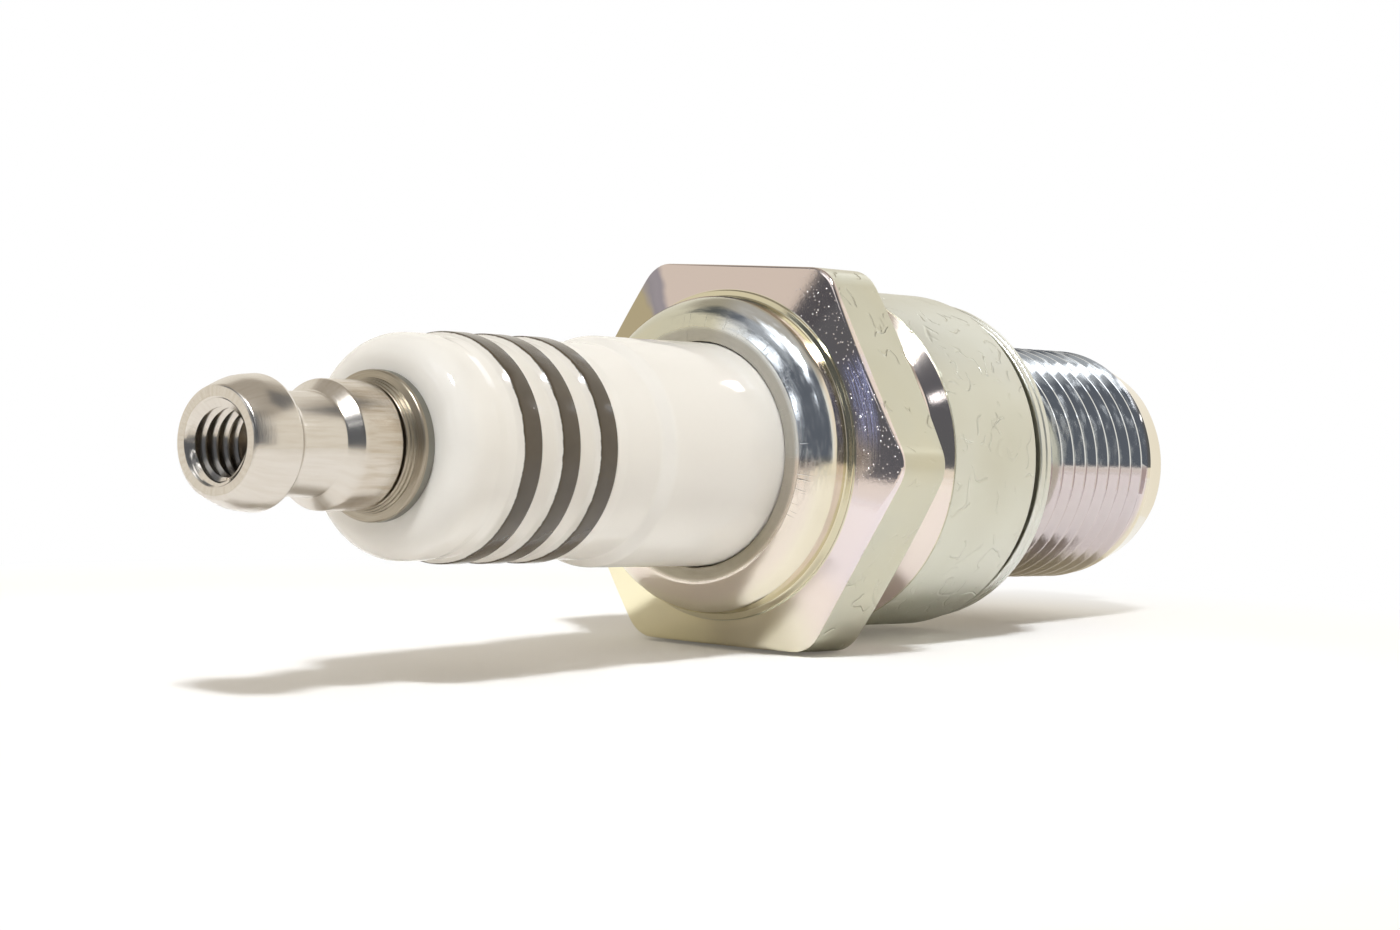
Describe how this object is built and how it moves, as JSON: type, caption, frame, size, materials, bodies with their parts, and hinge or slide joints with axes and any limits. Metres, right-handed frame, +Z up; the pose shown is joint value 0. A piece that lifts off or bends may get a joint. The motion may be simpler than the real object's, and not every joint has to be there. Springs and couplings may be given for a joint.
{
  "type": "spark plug",
  "caption": "Long-reach 14 mm spark plug with a ribbed white insulator, a crimped hexagon shell, a crush gasket, a fine-wire tip and a screw-on terminal nut.",
  "frame": {"origin": "on the surface that the plug lies on, under the middle of its length", "axes": "+X along the plug's axis from the terminal to the spark gap, +Z up from the hexagon flat that it lies on"},
  "size_m": [0.0774, 0.0234, 0.0208],
  "materials": {
    "polished_nickel": "turned and polished nickel plate",
    "plain_steel": "dull grey plated steel",
    "white_glaze": "glossy white glaze with dark fired rings on the ribs",
    "passivated_zinc": "bright zinc plate with a faint iridescent passivation",
    "gasket_sheet": "zinc plated sheet steel",
    "packing_wire": "plain steel",
    "pressed_talc": "pressed powder",
    "conductive_glass": "copper-filled glass, opaque",
    "resistor_body": "fired carbon and glass",
    "nickel_alloy": "drawn nickel alloy",
    "copper": "plain copper",
    "hard_wire": "fine precious-metal wire"
  },
  "bodies": {
    "plug": {"terminal_stud": "plain_steel", "insulator": "white_glaze", "metal_shell": "passivated_zinc", "upper_packing_ring": "packing_wire", "talc_packing": "pressed_talc", "lower_packing_ring": "packing_wire", "seat_washer": "packing_wire", "upper_glass_seal": "conductive_glass", "resistor": "resistor_body", "lower_glass_seal": "conductive_glass", "center_electrode": "nickel_alloy", "copper_core": "copper", "electrode_tip": "hard_wire", "ground_electrode": "nickel_alloy"},
    "nut": {"terminal_nut": "polished_nickel"},
    "gasket": {"gasket": "gasket_sheet"}
  },
  "joints": [
    {"name": "nut_travel", "type": "slide", "parent": "plug", "child": "nut", "axis": [-1, 0, 0], "range_m": [0, 0.0056]},
    {"name": "gasket_turn", "type": "hinge", "parent": "plug", "child": "gasket", "pos_m": [0.01682, 0, 0.0104], "axis": [1, 0, 0], "continuous": true}
  ]
}
